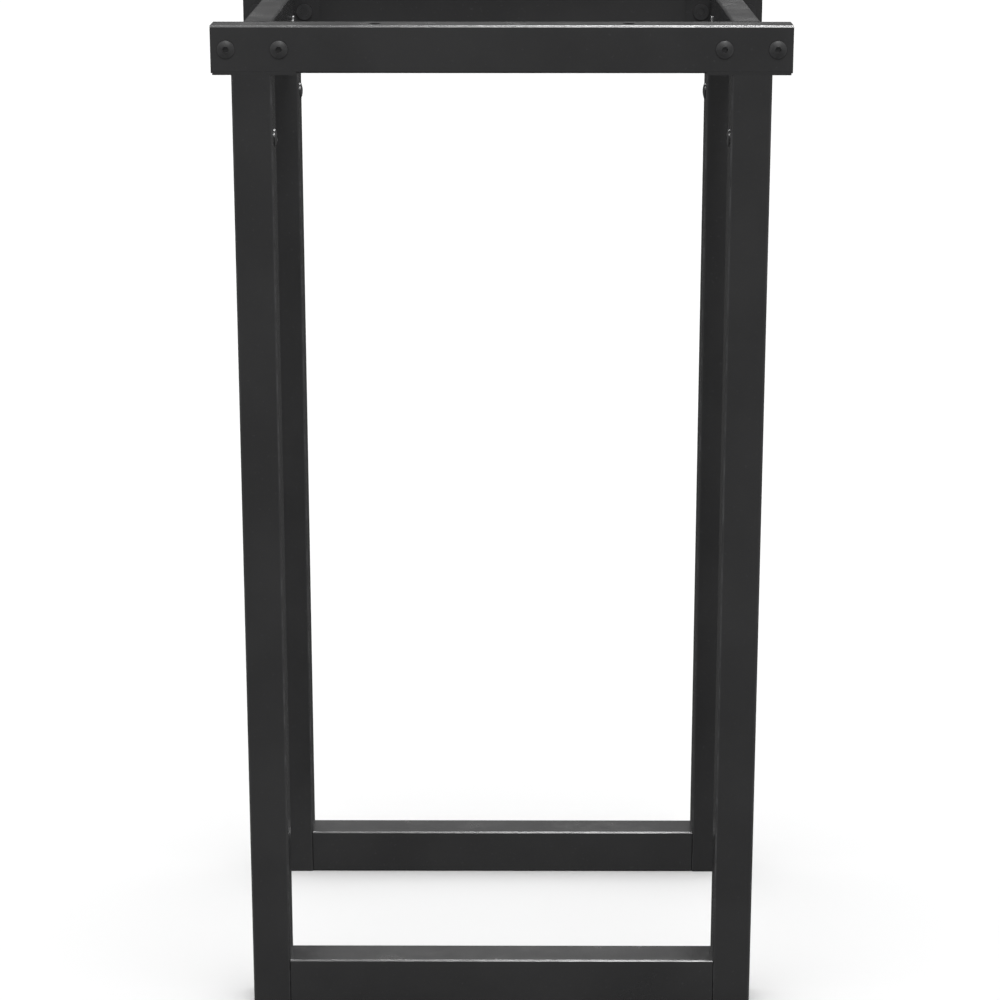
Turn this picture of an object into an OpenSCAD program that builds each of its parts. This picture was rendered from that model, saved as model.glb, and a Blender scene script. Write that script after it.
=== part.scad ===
// Firewood log rack: two welded end frames of square tube, each two posts and a bottom bar, and a
// bolted rim of two top bars and two side rails. Logs lie front to back across the bottom bars.
// Millimetres. X is the width, -Y the front, +Z up. The origin is on the floor, under the centre.

/* [Overall size] */
// Width over the ends of the top bars
rack_w = 400; // [340:1:600]
// Depth over the front and rear faces
rack_d = 280; // [200:1:500]
// Height from the floor to the top of the rim
rack_h = 730; // [400:1:1000]

/* [Tubes] */
// Side of the square post tube, and the depth of the four bars
post_size = 28; // [26:1:32]
// Height of the top bars
top_bar_h = 32.5; // [28:0.5:40]
// Height of the bottom bars
bottom_bar_h = 35; // [20:1:50]
// Width of the side rails
rail_w = 20; // [18:1:22]
// Height of the side rails
rail_h = 40; // [30:1:50]
// Wall thickness of every tube
wall = 1.5; // [1:0.1:2]
// Corner radius of the posts and side rails
post_r = 2; // [1.6:0.1:3]
// Corner radius of the top and bottom bars
bar_r = 1.6; // [1.6:0.1:3]
// How far the top bars run past the posts at each end
overhang = 13.8; // [13:0.1:16]

/* [Corner brackets] */
// Thickness of the bracket's saddle and flange
plate_t = 1.2; // [1:0.1:2]
// Width of the bracket's saddle and flange
plate_w = 58; // [56:1:60]
// Length of the spigot that stands in the post
post_spigot = 60; // [50:1:90]
// Length of the spigot that goes into the side rail
rail_spigot = 40; // [32:1:60]
// Wall thickness of both spigots
spigot_wall = 2; // [1.5:0.1:2.5]

/* [Fasteners] */
// Diameter of a low button head
head_d = 12; // [10.5:0.1:13]
// Height of a low button head
head_h = 2; // [1.8:0.1:3.5]
// Distance between the two bolts at each end of a top bar
bolt_pitch = 36.5; // [36:0.5:38]
// Height of a post screw below the top of its post
post_screw_drop = 45; // [20:1:50]
// Depth of a side rail screw below the top of the rim
rail_screw_drop = 23; // [16:1:24]
// Distance of a side rail screw from the end of its rail
rail_screw_inset = 19; // [12:1:25]

/* [Holes in the rim] */
// Diameter of the holes in the top faces of the top bars
top_hole_d = 8; // [4:0.5:10]
// Distance between the two holes of one top bar
top_hole_pitch = 175; // [60:5:240]

/* [Hidden] */

$fn = 48;

// Colours
frame_black = "#1d1d1f";
screw_black = "#141415";
plastic_black = "#101010";

// Clearance between a tube and what slides into it, on each side
fit = 0.2;
// How far a cut runs past the face that it opens
past = 1;
// Smallest corner radius inside a tube, corner radius of the spigots and of the plugs
inner_r = 0.4;
spigot_r = 1;
plug_r = 0.4;
// Distance of a side rail's middle from the ends of the top bars
rail_inset = 30;
// The saddle's front edge is turned up by this share of the bar's corner radius, to cup the corner
lip_share = 0.75;
// M6 threads: shank, nut bore and clearance hole
shank_d = 5.9;
nut_bore_d = 6;
clear_d = 6.6;
// Button heads, nuts and rivet nuts
socket_across_flats = 4;
socket_depth = 1.9;
head_rim = 0.8;
dome_facets = 96;
screw_length = 12;
bolt_length = 30;
weld_nut_across_flats = 10;
weld_nut_h = 5;
rivet_flange_d = 12;
rivet_flange_h = 1.2;
rivet_barrel_d = 8.8;
rivet_barrel_h = 13;
rivet_hole_d = 9;
rivet_pass_d = 9.6;
// Plugs
plug_face = 2.5;
plug_depth = 14;
plug_wall = 1.6;

// Places in the front left corner, as distances from the centre
post_x = rack_w / 2 - overhang - post_size / 2;
post_y = rack_d / 2 - post_size / 2;
post_inner_x = post_x - post_size / 2;
post_inner_y = post_y - post_size / 2;
rail_x = rack_w / 2 - rail_inset;
rail_inner_x = rail_x - rail_w / 2;
rail_end_y = post_inner_y - plate_t;
bolt_x = (rail_x + post_x) / 2;

// Heights
bar_bottom_z = rack_h - top_bar_h;
post_h = bar_bottom_z - plate_t;
bolt_z = bar_bottom_z + top_bar_h / 2;
post_screw_z = post_h - post_screw_drop;
rail_z = rack_h - rail_h / 2;
rail_screw_y = rail_end_y - rail_screw_inset;
rail_screw_z = rack_h - rail_screw_drop;

// Outer sizes of the two spigots
post_spigot_w = post_size - 2 * wall - 2 * fit;
rail_spigot_w = rail_w - 2 * wall - 2 * fit;
rail_spigot_h = rail_h - 2 * wall - 2 * fit;
flange_top_z = rack_h - wall - fit;

// ---- Shared shapes ----

module rounded_rectangle(w, h, r) {
    square([w - 2 * r, h], center = true);
    square([w, h - 2 * r], center = true);
    for (x = [-1, 1], y = [-1, 1])
        translate([x * (w / 2 - r), y * (h / 2 - r)])
            circle(r);
}

module tube_section(w, h, r, t) {
    difference() {
        rounded_rectangle(w, h, r);
        rounded_rectangle(w - 2 * t, h - 2 * t, max(r - t, inner_r));
    }
}

// A tube along X, centred on the origin
module tube_along_x(length, depth, height, r)
    rotate([90, 0, 90])
        linear_extrude(length, center = true)
            tube_section(depth, height, r, wall);

// A hole along Y through everything between y and y + length
module hole_along_y(x, y, z, d, length)
    translate([x, y, z])
        rotate([-90, 0, 0])
            cylinder(d = d, h = length);

// Everything that repeats at the corners is drawn at the front left one and mirrored from there
module at_corner(side, end)
    mirror([side == "right" ? 1 : 0, 0, 0])
        mirror([0, end == "rear" ? 1 : 0, 0])
            children();

module at_all_corners()
    for (side = ["left", "right"], end = ["front", "rear"])
        at_corner(side, end)
            children();

// A low button-head screw with its head's underside at the origin and its shank down -Z
module button_screw(length) {
    dome_h = head_h - head_rim;
    dome_r = (pow(head_d / 2, 2) + pow(dome_h, 2)) / (2 * dome_h);
    difference() {
        union() {
            intersection() {
                cylinder(d = head_d, h = head_h);
                translate([0, 0, head_h - dome_r])
                    sphere(dome_r, $fn = dome_facets);
            }
            translate([0, 0, -length])
                cylinder(d = shank_d, h = length + head_rim);
        }
        translate([0, 0, head_h - socket_depth])
            cylinder(d = socket_across_flats / cos(30), h = socket_depth + past, $fn = 6);
    }
}

// A plug whose face is at z = 0 and whose skirt goes up +Z into the tube
module tube_plug(w, h) {
    linear_extrude(plug_face)
        rounded_rectangle(w, h, plug_r);
    linear_extrude(plug_depth)
        difference() {
            rounded_rectangle(w, h, plug_r);
            rounded_rectangle(w - 2 * plug_wall, h - 2 * plug_wall, plug_r);
        }
}

// ---- Front left corner pieces ----

// Square tube post, with the screw's hole in its inner side
module corner_post()
    difference() {
        translate([-post_x, -post_y, 0])
            linear_extrude(post_h)
                tube_section(post_size, post_size, post_r, wall);
        translate([-post_x, -post_y, post_screw_z])
            rotate([0, 90, 0])
                cylinder(d = clear_d, h = post_size);
    }

// The saddle's turned-up front edge, under the bar's rounded lower corner
module saddle_lip()
    translate([-rail_x - plate_w / 2, -rack_d / 2, bar_bottom_z])
        rotate([90, 0, 90])
            linear_extrude(plate_w)
                difference() {
                    square([bar_r, lip_share * bar_r]);
                    translate([bar_r, bar_r])
                        circle(bar_r);
                }

// Saddle under the bar's end, flange behind the bar, and a spigot each for the post and the rail
module corner_bracket()
    difference() {
        union() {
            saddle_lip();
            translate([-rail_x - plate_w / 2, -rack_d / 2, post_h])
                cube([plate_w, post_size + plate_t, plate_t]);
            translate([-rail_x - plate_w / 2, -post_inner_y, post_h])
                cube([plate_w, plate_t, flange_top_z - post_h]);
            translate([-post_x, -post_y, post_h - post_spigot])
                linear_extrude(post_spigot)
                    tube_section(post_spigot_w, post_spigot_w, spigot_r, spigot_wall);
            translate([-rail_x, -rail_end_y, rail_z])
                rotate([90, 0, 180])
                    linear_extrude(rail_spigot)
                        tube_section(rail_spigot_w, rail_spigot_h, spigot_r, spigot_wall);
        }
        translate([-post_x, -post_y, post_screw_z])
            rotate([0, 90, 0])
                cylinder(d = clear_d, h = post_size);
        translate([-rail_x, -rail_screw_y, rail_screw_z])
            rotate([0, 90, 0])
                cylinder(d = clear_d, h = rail_w);
        for (x = [-1, 1]) {
            nut_at = -bolt_x + x * bolt_pitch / 2;
            hole_along_y(nut_at, -post_inner_y - past, bolt_z, rivet_hole_d, plate_t + 2 * past);
        }
    }

// Plastic plug, flush in the open end of the top bar
module corner_end_cap()
    translate([-rack_w / 2, -post_y, bolt_z])
        rotate([90, 0, 90])
            tube_plug(post_size - 2 * wall - fit, top_bar_h - 2 * wall - fit);

// Plastic plug, flush in the lower end of the post
module corner_foot_plug()
    translate([-post_x, -post_y, 0])
        tube_plug(post_size - 2 * wall - fit, post_size - 2 * wall - fit);

// The two M6 bolts that go through the top bar from its outer face
module corner_bar_bolts()
    for (x = [-1, 1])
        translate([-bolt_x + x * bolt_pitch / 2, -rack_d / 2, bolt_z])
            rotate([90, 0, 0])
                button_screw(bolt_length);

// The two rivet nuts that are set in the bracket's flange
module corner_rivet_nuts()
    for (x = [-1, 1])
        translate([-bolt_x + x * bolt_pitch / 2, -rail_end_y, bolt_z])
            rotate([-90, 0, 0])
                difference() {
                    union() {
                        cylinder(d = rivet_flange_d, h = rivet_flange_h);
                        translate([0, 0, -rivet_barrel_h])
                            cylinder(d = rivet_barrel_d, h = rivet_barrel_h);
                    }
                    translate([0, 0, -rivet_barrel_h - past])
                        cylinder(d = nut_bore_d, h = rivet_barrel_h + rivet_flange_h + 2 * past);
                }

// The screw through the post's inner side
module corner_post_screw()
    translate([-post_inner_x, -post_y, post_screw_z])
        rotate([0, 90, 0])
            button_screw(screw_length);

// The screw through the side rail's inner face
module corner_rail_screw()
    translate([-rail_inner_x, -rail_screw_y, rail_screw_z])
        rotate([0, 90, 0])
            button_screw(screw_length);

// A hexagon nut with its welded face at the origin and its body towards -X
module weld_nut()
    rotate([0, -90, 0])
        difference() {
            cylinder(d = weld_nut_across_flats / cos(30), h = weld_nut_h, $fn = 6);
            translate([0, 0, -past])
                cylinder(d = nut_bore_d, h = weld_nut_h + 2 * past);
        }

// The nuts welded inside the bracket's two spigots
module corner_weld_nuts() {
    translate([-post_x + post_spigot_w / 2 - spigot_wall, -post_y, post_screw_z])
        weld_nut();
    translate([-rail_x + rail_spigot_w / 2 - spigot_wall, -rail_screw_y, rail_screw_z])
        weld_nut();
}

// ---- Bars, rails and welds ----

// Tube between two posts, at the front; mirrored for the rear
module bottom_bar()
    translate([0, -post_y, bottom_bar_h / 2])
        tube_along_x(2 * post_inner_x, post_size, bottom_bar_h, bar_r);

// Tube over two posts, at the front, with its bolt holes and the two holes in its top face
module top_bar()
    difference() {
        translate([0, -post_y, bolt_z])
            tube_along_x(rack_w, post_size, top_bar_h, bar_r);
        for (side = [-1, 1], x = [-1, 1]) {
            bolt_at = side * bolt_x + x * bolt_pitch / 2;
            hole_along_y(bolt_at, -rack_d / 2 - past, bolt_z, clear_d, post_size / 2 + past);
            hole_along_y(bolt_at, -post_y, bolt_z, rivet_pass_d, post_size / 2 + past);
        }
        for (side = [-1, 1])
            translate([side * top_hole_pitch / 2, -post_y, bolt_z])
                cylinder(d = top_hole_d, h = top_bar_h);
    }

// Tube between the brackets' flanges on the left; mirrored for the right
module side_rail()
    difference() {
        translate([-rail_x, 0, rail_z])
            rotate([90, 0, 0])
                linear_extrude(2 * rail_end_y, center = true)
                    tube_section(rail_w, rail_h, post_r, wall);
        for (y = [-1, 1])
            translate([-rail_x, y * rail_screw_y, rail_screw_z])
                rotate([0, 90, 0])
                    cylinder(d = clear_d, h = rail_w);
    }

// The weld that fills the groove between a bar's end and the post's rounded back corner
module groove_weld(back_y)
    translate([-post_inner_x, back_y, bar_r])
        linear_extrude(bottom_bar_h - 2 * bar_r)
            difference() {
                translate([-post_r, -post_r])
                    square(post_r);
                translate([-post_r, -post_r])
                    circle(post_r);
            }

// ---- Named sub-parts ----

module front_left_post() color(frame_black) at_corner("left", "front") corner_post();
module front_right_post() color(frame_black) at_corner("right", "front") corner_post();
module rear_left_post() color(frame_black) at_corner("left", "rear") corner_post();
module rear_right_post() color(frame_black) at_corner("right", "rear") corner_post();

module front_bottom_bar() color(frame_black) bottom_bar();
module rear_bottom_bar() color(frame_black) mirror([0, 1, 0]) bottom_bar();
module front_top_bar() color(frame_black) top_bar();
module rear_top_bar() color(frame_black) mirror([0, 1, 0]) top_bar();
module left_side_rail() color(frame_black) side_rail();
module right_side_rail() color(frame_black) mirror([1, 0, 0]) side_rail();

module front_left_bracket() color(frame_black) at_corner("left", "front") corner_bracket();
module front_right_bracket() color(frame_black) at_corner("right", "front") corner_bracket();
module rear_left_bracket() color(frame_black) at_corner("left", "rear") corner_bracket();
module rear_right_bracket() color(frame_black) at_corner("right", "rear") corner_bracket();

module front_left_end_cap() color(plastic_black) at_corner("left", "front") corner_end_cap();
module front_right_end_cap() color(plastic_black) at_corner("right", "front") corner_end_cap();
module rear_left_end_cap() color(plastic_black) at_corner("left", "rear") corner_end_cap();
module rear_right_end_cap() color(plastic_black) at_corner("right", "rear") corner_end_cap();

module front_left_foot_plug() color(plastic_black) at_corner("left", "front") corner_foot_plug();
module front_right_foot_plug() color(plastic_black) at_corner("right", "front") corner_foot_plug();
module rear_left_foot_plug() color(plastic_black) at_corner("left", "rear") corner_foot_plug();
module rear_right_foot_plug() color(plastic_black) at_corner("right", "rear") corner_foot_plug();

module front_bar_bolts()
    color(screw_black)
        for (side = ["left", "right"])
            at_corner(side, "front") corner_bar_bolts();

module rear_bar_bolts()
    color(screw_black)
        for (side = ["left", "right"])
            at_corner(side, "rear") corner_bar_bolts();

module bar_rivet_nuts() color(screw_black) at_all_corners() corner_rivet_nuts();
module post_screws() color(screw_black) at_all_corners() corner_post_screw();
module rail_screws() color(screw_black) at_all_corners() corner_rail_screw();
module bracket_weld_nuts() color(screw_black) at_all_corners() corner_weld_nuts();

// Both end frames are the same piece the same way round, so their welds are at the back
module frame_welds()
    color(frame_black)
        for (side = ["left", "right"], back_y = [-post_inner_y, rack_d / 2])
            at_corner(side, "front") groove_weld(back_y);

front_left_post();
front_right_post();
rear_left_post();
rear_right_post();
front_bottom_bar();
rear_bottom_bar();
front_top_bar();
rear_top_bar();
left_side_rail();
right_side_rail();
front_left_bracket();
front_right_bracket();
rear_left_bracket();
rear_right_bracket();
front_left_end_cap();
front_right_end_cap();
rear_left_end_cap();
rear_right_end_cap();
front_left_foot_plug();
front_right_foot_plug();
rear_left_foot_plug();
rear_right_foot_plug();
front_bar_bolts();
rear_bar_bolts();
bar_rivet_nuts();
post_screws();
rail_screws();
bracket_weld_nuts();
frame_welds();
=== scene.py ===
"""The firewood log rack's looks: black powder coat, black oxide fasteners and moulded plastic plugs,
on a pale floor in soft studio light. Metres, in the CAD model's frame: -Y is the front, +Z is up."""

import math

import bpy
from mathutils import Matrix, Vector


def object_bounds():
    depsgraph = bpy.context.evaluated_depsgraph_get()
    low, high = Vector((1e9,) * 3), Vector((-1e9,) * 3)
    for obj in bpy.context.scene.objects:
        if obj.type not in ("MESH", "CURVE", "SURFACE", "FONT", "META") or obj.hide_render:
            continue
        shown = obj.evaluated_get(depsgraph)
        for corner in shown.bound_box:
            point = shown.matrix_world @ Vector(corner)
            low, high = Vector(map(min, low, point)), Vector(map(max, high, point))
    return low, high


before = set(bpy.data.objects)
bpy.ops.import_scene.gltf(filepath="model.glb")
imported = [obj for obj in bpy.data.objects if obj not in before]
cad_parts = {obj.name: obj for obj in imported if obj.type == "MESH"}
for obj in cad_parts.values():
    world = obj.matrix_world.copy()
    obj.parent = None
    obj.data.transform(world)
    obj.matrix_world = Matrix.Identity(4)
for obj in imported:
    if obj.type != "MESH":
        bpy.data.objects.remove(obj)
cad_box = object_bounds()

# Which nodes wear which finish
TUBES = [
    "front_left_post", "front_right_post", "rear_left_post", "rear_right_post",
    "front_bottom_bar", "rear_bottom_bar", "front_top_bar", "rear_top_bar",
    "left_side_rail", "right_side_rail",
]
BRACKETS = ["front_left_bracket", "front_right_bracket", "rear_left_bracket", "rear_right_bracket"]
WELDS = ["frame_welds"]
FASTENERS = [
    "front_bar_bolts", "rear_bar_bolts", "bar_rivet_nuts",
    "post_screws", "rail_screws", "bracket_weld_nuts",
]
PLUGS = [
    "front_left_end_cap", "front_right_end_cap", "rear_left_end_cap", "rear_right_end_cap",
    "front_left_foot_plug", "front_right_foot_plug", "rear_left_foot_plug", "rear_right_foot_plug",
]

# Linear colours. Each finish drifts between its dark and its light one
COAT_DARK = (0.0140, 0.0140, 0.0144, 1)
COAT_LIGHT = (0.0175, 0.0175, 0.0179, 1)
COAT_SPECKLE = (0.028, 0.028, 0.029, 1)
# The lighter tone along the rounded edges: partly the coat rubbed thin, partly a painted sheen
COAT_RUBBED_AND_SHEEN = (0.045, 0.045, 0.047, 1)
DUST = (0.160, 0.155, 0.145, 1)
WELD_DARK = (0.0125, 0.0125, 0.0129, 1)
WELD_LIGHT = (0.0185, 0.0185, 0.0189, 1)
OXIDE_DARK = (0.0105, 0.0105, 0.0110, 1)
OXIDE_LIGHT = (0.0160, 0.0160, 0.0165, 1)
OXIDE_RUBBED = (0.080, 0.080, 0.084, 1)
PLASTIC_DARK = (0.0115, 0.0115, 0.0118, 1)
PLASTIC_LIGHT = (0.0165, 0.0165, 0.0170, 1)
PLASTIC_SCUFFED = (0.035, 0.035, 0.036, 1)
FLOOR_DARK = (0.88, 0.88, 0.88, 1)
FLOOR_LIGHT = (0.90, 0.90, 0.90, 1)
WHITE = (1, 1, 1, 1)


# ---- Node building ----

class Nodes:
    """Builds a node tree. Every method but add, put and split returns an output socket."""

    def __init__(self, tree):
        self.tree = tree

    def add(self, kind, **settings):
        node = self.tree.nodes.new(kind)
        for key, value in settings.items():
            setattr(node, key, value)
        return node

    def put(self, socket, value):
        """Links value into socket if it is a socket, and sets it otherwise."""
        if isinstance(value, bpy.types.NodeSocket):
            self.tree.links.new(value, socket)
        else:
            socket.default_value = value

    def split(self, vector):
        """The vector's X, Y and Z sockets."""
        node = self.add("ShaderNodeSeparateXYZ")
        self.put(node.inputs[0], vector)
        return [node.outputs[axis] for axis in "XYZ"]

    def math(self, operation, *values):
        node = self.add("ShaderNodeMath", operation=operation)
        for socket, value in zip(node.inputs, values):
            self.put(socket, value)
        return node.outputs[0]

    def times(self, first, second):
        return self.math("MULTIPLY", first, second)

    def plus_share(self, total, value, share):
        """total plus share times value."""
        return self.math("MULTIPLY_ADD", value, share, total)

    def ramp(self, value, low, high, to_low=0.0, to_high=1.0):
        """value from low to high, turned smoothly into to_low to to_high."""
        node = self.add("ShaderNodeMapRange", interpolation_type="SMOOTHSTEP")
        self.put(node.inputs["Value"], value)
        node.inputs["From Min"].default_value = low
        node.inputs["From Max"].default_value = high
        node.inputs["To Min"].default_value = to_low
        node.inputs["To Max"].default_value = to_high
        return node.outputs["Result"]


class Finish(Nodes):
    """A new material with a Principled shader, and its piece's own coordinates in metres."""

    def __init__(self, name):
        self.material = bpy.data.materials.new(name)
        self.material.use_nodes = True
        super().__init__(self.material.node_tree)
        self.shader = self.tree.nodes["Principled BSDF"]
        self.place = self.add("ShaderNodeTexCoord").outputs["Object"]

    def shifted(self, offset=(0, 0, 0), stretch=(1, 1, 1)):
        """The piece's own coordinates, moved by offset and stretched."""
        node = self.add("ShaderNodeMapping")
        self.put(node.inputs["Vector"], self.place)
        node.inputs["Location"].default_value = offset
        node.inputs["Scale"].default_value = stretch
        return node.outputs[0]

    def noise(self, size, detail, place=None, roughness=0.5):
        """Noise with features about size metres across."""
        node = self.add("ShaderNodeTexNoise")
        self.put(node.inputs["Vector"], place or self.place)
        node.inputs["Scale"].default_value = 1 / size
        node.inputs["Detail"].default_value = detail
        node.inputs["Roughness"].default_value = roughness
        return node.outputs["Fac"]

    def cells(self, size):
        """Voronoi distance with cells about size metres across."""
        node = self.add("ShaderNodeTexVoronoi")
        self.put(node.inputs["Vector"], self.place)
        node.inputs["Scale"].default_value = 1 / size
        return node.outputs["Distance"]

    def mix(self, factor, first, second):
        """A colour from first to second."""
        node = self.add("ShaderNodeMix", data_type="RGBA")
        self.put(node.inputs["Factor"], factor)
        self.put(node.inputs[6], first)
        self.put(node.inputs[7], second)
        return node.outputs[2]

    def bump(self, relief, depth, under=None):
        """A normal from a relief of 0 to 1 that stands depth metres high, on top of the normal under."""
        node = self.add("ShaderNodeBump")
        self.put(node.inputs["Height"], relief)
        node.inputs["Distance"].default_value = depth
        if under is not None:
            self.put(node.inputs["Normal"], under)
        return node.outputs["Normal"]

    def facing(self):
        """The X, Y and Z sockets of the way that the surface faces."""
        return self.split(self.add("ShaderNodeNewGeometry").outputs["Normal"])

    def edges(self):
        """0 on the flat faces, which all face along an axis, and 1 along the rounded edges."""
        x, y, z = [self.math("ABSOLUTE", part) for part in self.facing()]
        largest = self.math("MAXIMUM", self.math("MAXIMUM", x, y), z)
        return self.ramp(self.math("SUBTRACT", 1.0, largest), 0.02, 0.2)

    def facing_up(self):
        """1 on faces that look up, where dust settles, and 0 on the others."""
        return self.ramp(self.facing()[2], 0.6, 1.0)

    def coat(self, colour, roughness, specular, normal=None):
        """Puts the finish on the shader."""
        self.put(self.shader.inputs["Base Color"], colour)
        self.put(self.shader.inputs["Roughness"], roughness)
        self.put(self.shader.inputs["Specular IOR Level"], specular)
        if normal is not None:
            self.put(self.shader.inputs["Normal"], normal)


# ---- Finishes ----

def powder_coat(name, seed):
    """Satin black powder coat: orange peel, fine grain, a film rubbed thinner along the edges and lightened
    there as a painted sheen, faint dust.
    """
    n = Finish(name)
    own = n.shifted(offset=(seed * 1.7, seed * 0.9, seed * 2.3))
    cloud = n.ramp(n.noise(size=0.09, detail=3.0, place=own), 0.3, 0.7)
    speckle = n.ramp(n.noise(size=0.0025, detail=2.0, place=own), 0.62, 0.78)
    # Patches along the rounded edges: partly coat rubbed thin (smoother there), partly a painted sheen that
    # lightens them
    rub_and_sheen_patches = n.ramp(n.noise(size=0.018, detail=4.0, place=own, roughness=0.6), 0.42, 0.68)
    lighter_edges = n.times(n.edges(), rub_and_sheen_patches)
    dust_patches = n.ramp(n.noise(size=0.03, detail=5.0, place=own, roughness=0.65), 0.4, 0.8)
    dust = n.times(n.facing_up(), dust_patches)

    colour = n.mix(cloud, COAT_DARK, COAT_LIGHT)
    colour = n.mix(n.times(speckle, 0.5), colour, COAT_SPECKLE)
    # Lightens the edge patches: partly rubbed coat, partly painted sheen
    colour = n.mix(n.times(lighter_edges, 0.55), colour, COAT_RUBBED_AND_SHEEN)
    colour = n.mix(n.times(dust, 0.05), colour, DUST)

    roughness = n.ramp(n.noise(size=0.035, detail=4.0, place=own), 0.3, 0.7, 0.21, 0.25)
    roughness = n.plus_share(roughness, lighter_edges, -0.08)
    roughness = n.plus_share(roughness, dust, 0.06)

    peel = n.bump(n.noise(size=0.0032, detail=1.0, place=own), depth=0.00003)
    grain = n.bump(n.noise(size=0.0006, detail=2.0, place=own), depth=0.00002, under=peel)
    n.coat(colour, roughness, specular=0.5, normal=grain)
    return n.material


def coated_weld(name):
    """The same coat over a weld's overlapping ripples, which follow each other up the seam."""
    n = Finish(name)
    wave = n.add("ShaderNodeTexWave", wave_type="BANDS", bands_direction="Z", wave_profile="SAW")
    n.put(wave.inputs["Vector"], n.place)
    wave.inputs["Scale"].default_value = 110  # a ripple every 2.9 mm
    wave.inputs["Distortion"].default_value = 1.2
    wave.inputs["Detail"].default_value = 1.0
    ripples = wave.outputs["Fac"]

    colour = n.mix(ripples, WELD_DARK, WELD_LIGHT)
    roughness = n.ramp(n.noise(size=0.004, detail=3.0), 0.3, 0.7, 0.36, 0.50)
    n.coat(colour, roughness, specular=0.5, normal=n.bump(ripples, depth=0.0004))
    return n.material


def black_oxide(name):
    """Blackened steel: a dark waxed skin with a fine tumbled grain, brighter where tools rub it."""
    n = Finish(name)
    grain = n.noise(size=0.0005, detail=3.0)
    cloud = n.ramp(n.noise(size=0.004, detail=3.0), 0.3, 0.7)
    lighter_edges = n.times(n.edges(), n.ramp(n.noise(size=0.002, detail=3.0), 0.4, 0.7))

    colour = n.mix(cloud, OXIDE_DARK, OXIDE_LIGHT)
    colour = n.mix(n.times(lighter_edges, 0.25), colour, OXIDE_RUBBED)
    roughness = n.ramp(grain, 0.3, 0.7, 0.28, 0.40)
    n.coat(colour, roughness, specular=0.6, normal=n.bump(grain, depth=0.00002))
    return n.material


def moulded_plastic(name):
    """Spark-eroded black polyethylene: an even fine grain, matt, scuffed a little."""
    n = Finish(name)
    pits = n.cells(size=0.0007)
    cloud = n.ramp(n.noise(size=0.012, detail=3.0), 0.3, 0.7)
    drawn_out = n.shifted(stretch=(1, 1, 0.25))
    scuff = n.ramp(n.noise(size=0.006, detail=4.0, place=drawn_out, roughness=0.6), 0.55, 0.75)

    colour = n.mix(cloud, PLASTIC_DARK, PLASTIC_LIGHT)
    colour = n.mix(n.times(scuff, 0.3), colour, PLASTIC_SCUFFED)
    roughness = n.ramp(pits, 0.1, 0.6, 0.62, 0.50)
    n.coat(colour, roughness, specular=0.35, normal=n.bump(pits, depth=0.00004))
    return n.material


def matt_white(name):
    """The floor's plain pale paint, very slightly uneven."""
    n = Finish(name)
    colour = n.mix(n.noise(size=0.4, detail=3.0), FLOOR_DARK, FLOOR_LIGHT)
    n.coat(colour, roughness=0.9, specular=0.1)
    return n.material


def wear(node, material):
    """Gives one CAD node one material, in place of what it has."""
    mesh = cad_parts[node].data
    mesh.materials.clear()
    mesh.materials.append(material)


def dress_the_rack():
    """Each tube and bracket has a coat of its own, so that no two show the same marks."""
    for seed, node in enumerate(TUBES + BRACKETS):
        wear(node, powder_coat("powder_coat_" + node, seed))
    for node in WELDS:
        wear(node, coated_weld("powder_coat_weld"))
    oxide = black_oxide("black_oxide")
    for node in FASTENERS:
        wear(node, oxide)
    plastic = moulded_plastic("moulded_plastic")
    for node in PLUGS:
        wear(node, plastic)


# ---- Studio ----

def pale_floor(half):
    """A plain pale floor, 2 * half wide and deep, that the rack's gloss doesn't mirror."""
    mesh = bpy.data.meshes.new("floor")
    corners = [(-half, -half, 0), (half, -half, 0), (half, half, 0), (-half, half, 0)]
    mesh.from_pydata(corners, [], [(0, 1, 2, 3)])
    mesh.materials.append(matt_white("floor_white"))
    floor = bpy.data.objects.new("floor", mesh)
    floor.visible_glossy = False
    bpy.context.scene.collection.objects.link(floor)


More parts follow.
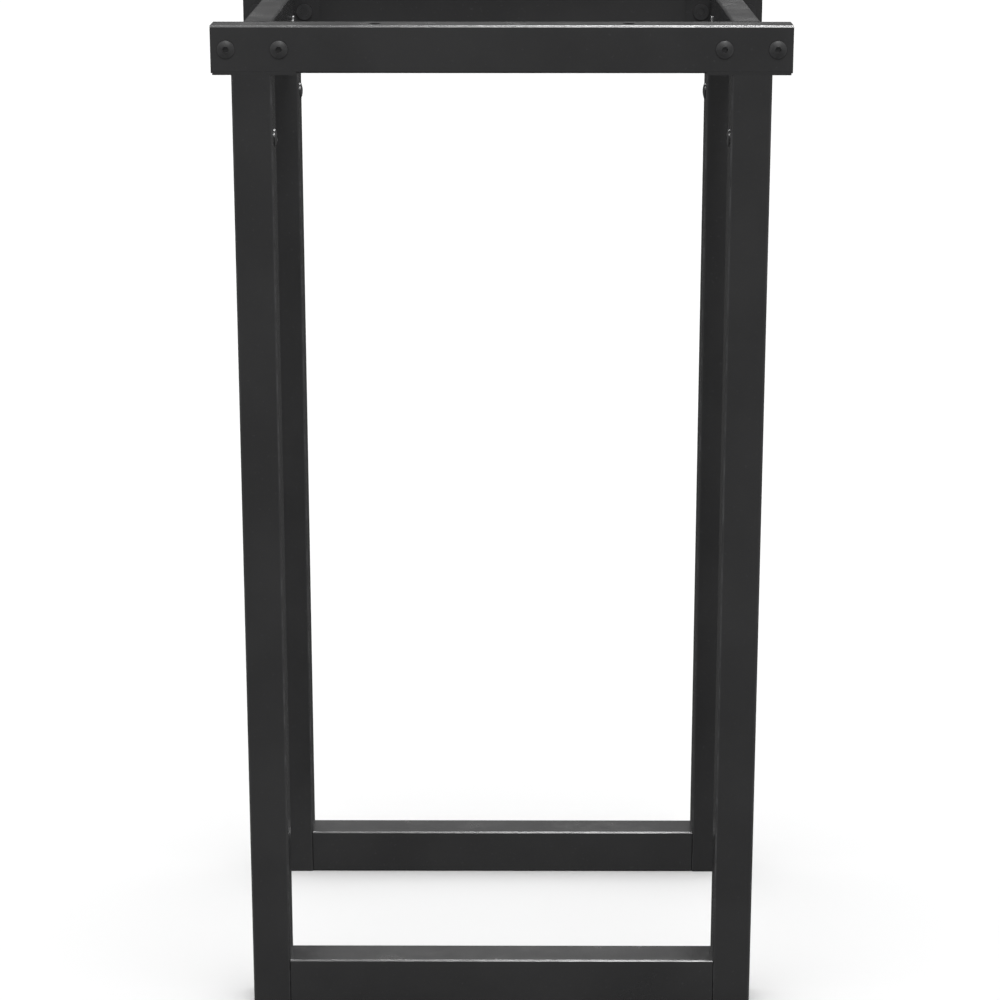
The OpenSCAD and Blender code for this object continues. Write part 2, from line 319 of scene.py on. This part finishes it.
def white_room(seen, around, front, sides, overhead):
    """A plain surround that looks white. It lights softly: a little from all around, some from the front
    and from both sides, and most from overhead."""
    world = bpy.data.worlds.new("studio")
    bpy.context.scene.world = world
    world.use_nodes = True
    n = Nodes(world.node_tree)
    x, y, z = n.split(n.add("ShaderNodeTexCoord").outputs["Generated"])
    upward = n.math("MAXIMUM", z, 0.0)
    frontward = n.math("MAXIMUM", n.times(y, -1.0), 0.0)
    sideward = n.math("ABSOLUTE", x)
    light = n.plus_share(around, n.times(upward, upward), overhead)
    light = n.plus_share(light, frontward, front)
    light = n.plus_share(light, sideward, sides)

    shown = n.add("ShaderNodeMix")
    n.put(shown.inputs["Factor"], n.add("ShaderNodeLightPath").outputs["Is Camera Ray"])
    n.put(shown.inputs["A"], light)
    n.put(shown.inputs["B"], seen)
    background = world.node_tree.nodes["Background"]
    n.put(background.inputs["Strength"], shown.outputs["Result"])
    n.put(background.inputs["Color"], WHITE)


def softbox(name, x, y, width, depth, radiance):
    """A rectangular area light high above the rack, tilted to face its rim. It leaves the floor alone."""
    height = 4.9
    drop = height - cad_box[1].z
    light = bpy.data.lights.new(name, "AREA")
    light.shape = "RECTANGLE"
    light.size = width
    light.size_y = depth
    light.energy = radiance * math.pi * width * depth
    box = bpy.data.objects.new(name, light)
    box.location = (x, y, height)
    box.rotation_euler = (math.atan2(-y, drop), math.atan2(x, drop), 0)
    bpy.context.scene.collection.objects.link(box)
    lit = bpy.data.collections.new("lit_by_" + name)
    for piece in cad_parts.values():
        lit.objects.link(piece)
    box.light_linking.receiver_collection = lit


def camera():
    """From the front, a little above the rim, with a long lens."""
    in_front = 1.955
    above_rim = 0.209
    off_centre = 0.0053
    tilt_down = math.radians(15.58)
    turn_left = math.radians(0.19)
    low, high = cad_box
    data = bpy.data.cameras.new("camera")
    data.sensor_width = 36
    data.lens = 102.2
    view = bpy.data.objects.new("camera", data)
    view.location = (off_centre, low.y - in_front, high.z + above_rim)
    view.rotation_euler = (math.pi / 2 - tilt_down, 0, turn_left)
    bpy.context.scene.collection.objects.link(view)
    bpy.context.scene.camera = view


def studio():
    """Two big softboxes, in front and behind, and a long thin one at each side."""
    pale_floor(half=30.0)
    white_room(seen=1.2, around=0.015, front=0.15, sides=0.35, overhead=2.05)
    softbox("front_key", x=0.44, y=-3.4, width=1.0, depth=2.4, radiance=38)
    softbox("back_key", x=0.44, y=2.8, width=1.0, depth=2.4, radiance=38)
    softbox("left_strip", x=-3.6, y=0, width=0.4, depth=7.0, radiance=10)
    softbox("right_strip", x=3.6, y=0, width=0.4, depth=7.0, radiance=10)
    camera()
    bpy.context.scene.view_settings.view_transform = "Standard"
    bpy.context.scene.view_settings.exposure = 0.0


dress_the_rack()
studio()
